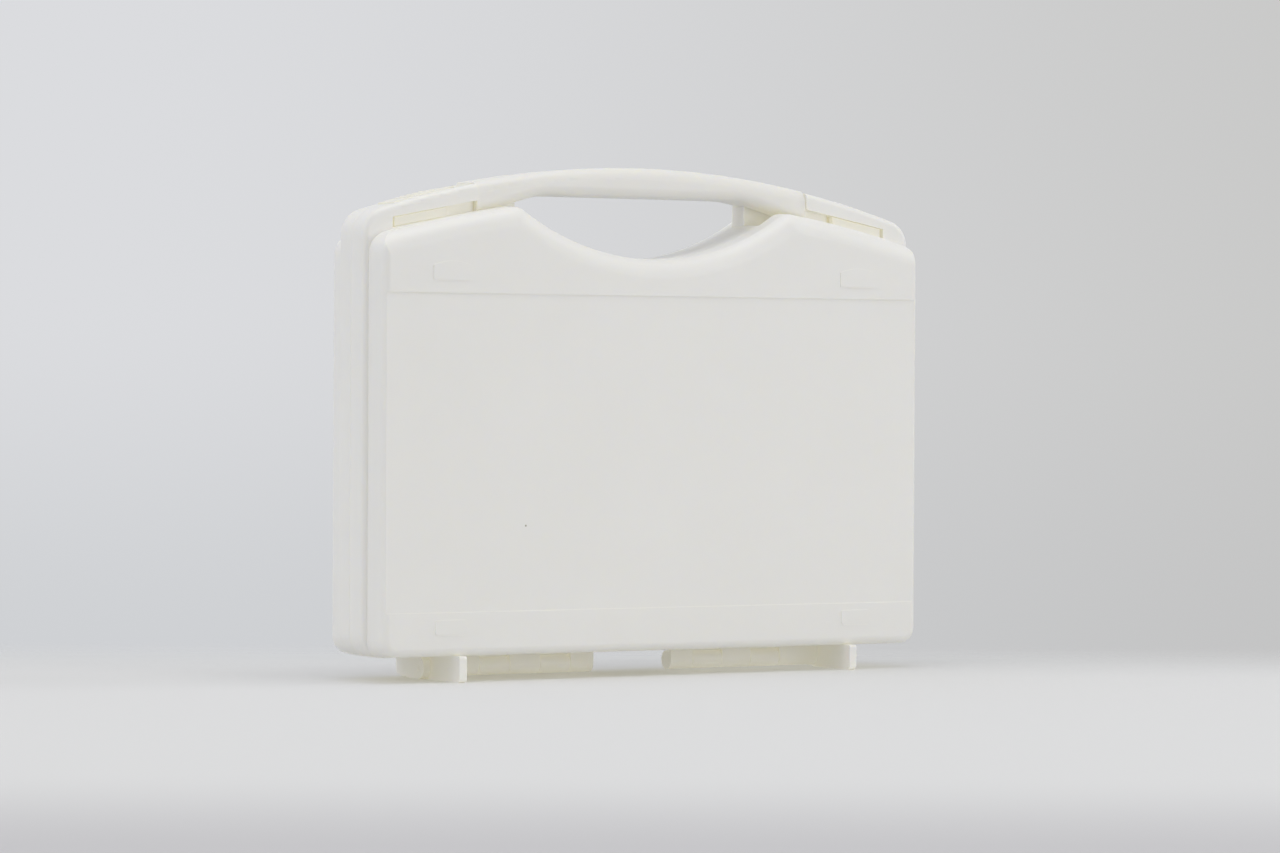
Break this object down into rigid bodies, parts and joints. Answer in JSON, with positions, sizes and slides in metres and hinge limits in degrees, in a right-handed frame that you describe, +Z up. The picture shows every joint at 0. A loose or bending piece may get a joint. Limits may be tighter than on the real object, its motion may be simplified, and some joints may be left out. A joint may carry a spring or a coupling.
{
  "type": "injection moulded carrying case",
  "caption": "Slim hinged plastic carrying case with a carry handle, slide latches and standing feet on its hinge line.",
  "frame": {"origin": "centre of the footprint on the surface the feet stand on", "axes": "+X across the case to the right seen from the lid, +Y from the lid to the base shell, +Z up to the handle"},
  "size_m": [0.305, 0.0606, 0.246],
  "materials": {
    "shell_plastic": "natural white moulded polypropylene, satin",
    "handle_plastic": "natural white moulded polypropylene, satin",
    "latch_plastic": "natural white moulded polypropylene, satin",
    "pin_plastic": "natural white moulded polypropylene, satin"
  },
  "bodies": {
    "base": {"base_shell": "shell_plastic", "handle": "handle_plastic", "hinge_pin_left": "pin_plastic", "hinge_pin_right": "pin_plastic"},
    "lid": {"lid_shell": "shell_plastic"},
    "latch_left": {"latch_slider_left": "latch_plastic"},
    "latch_right": {"latch_slider_right": "latch_plastic"}
  },
  "joints": [
    {"name": "lid_hinge", "type": "hinge", "parent": "base", "child": "lid", "pos_m": [0, 0.00407, 0.0056], "axis": [1, 0, 0], "range_deg": [0, 180]},
    {"name": "latch_left_slide", "type": "slide", "parent": "base", "child": "latch_left", "axis": [0.9815, 0, 0.1914], "range_m": [0, 0.0101]},
    {"name": "latch_right_slide", "type": "slide", "parent": "base", "child": "latch_right", "axis": [-0.9815, 0, 0.1914], "range_m": [0, 0.0101]}
  ]
}
